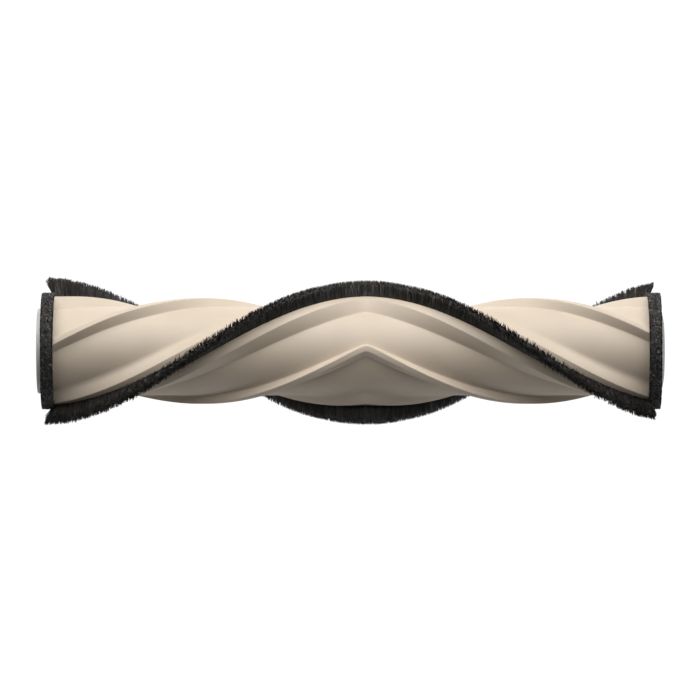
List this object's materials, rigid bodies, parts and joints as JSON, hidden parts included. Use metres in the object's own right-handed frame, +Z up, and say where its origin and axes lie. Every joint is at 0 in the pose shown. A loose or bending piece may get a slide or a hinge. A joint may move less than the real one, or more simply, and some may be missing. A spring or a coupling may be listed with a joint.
{
  "type": "vacuum brush roll",
  "caption": "Cylindrical brush roll for a vacuum's floor head: soft chevron-finned skin, bristle strips, pile rings, a keyed drive end and a ball bearing at the other.",
  "frame": {"origin": "on the spin axis, halfway along the roll", "axes": "+X along the spin axis towards the bearing end, +Z up, -Y the front"},
  "size_m": [0.18, 0.0416, 0.0416],
  "materials": {
    "core_plastic": "matt",
    "beige_skin": "satin moulded elastomer",
    "backing_plastic": "matt",
    "black_bristle": "nylon filament",
    "flange_plastic": "satin",
    "black_pile": "dense cut pile",
    "grey_plastic": "satin",
    "bearing_steel": "ground",
    "cage_nylon": "natural nylon",
    "ball_steel": "polished",
    "shield_steel": "stamped"
  },
  "bodies": {
    "bearing_inner": {"bearing_inner_race": "bearing_steel"},
    "roller": {"core_tube": "core_plastic", "soft_skin": "beige_skin", "strip_backing_a": "backing_plastic", "strip_backing_b": "backing_plastic", "bristle_strip_a": "black_bristle", "bristle_strip_b": "black_bristle", "end_flange_drive": "flange_plastic", "end_flange_bearing": "flange_plastic", "ring_band_drive": "backing_plastic", "ring_band_bearing": "backing_plastic", "pile_ring_drive": "black_pile", "pile_ring_bearing": "black_pile", "drive_hub": "grey_plastic", "bearing_cap": "grey_plastic", "bearing_outer_race": "bearing_steel", "bearing_shield_outer": "shield_steel", "bearing_shield_inner": "shield_steel"},
    "ball_cage": {"bearing_cage": "cage_nylon", "bearing_balls": "ball_steel"}
  },
  "joints": [
    {"name": "brush_spin", "type": "hinge", "parent": "bearing_inner", "child": "roller", "pos_m": [0, 0, 0], "axis": [1, 0, 0], "continuous": true},
    {"name": "cage_spin", "type": "hinge", "parent": "bearing_inner", "child": "ball_cage", "pos_m": [0, 0, 0], "axis": [1, 0, 0], "continuous": true}
  ],
  "couplings": [
    {"joint": "cage_spin", "follows": "brush_spin", "ratio": 0.6}
  ]
}
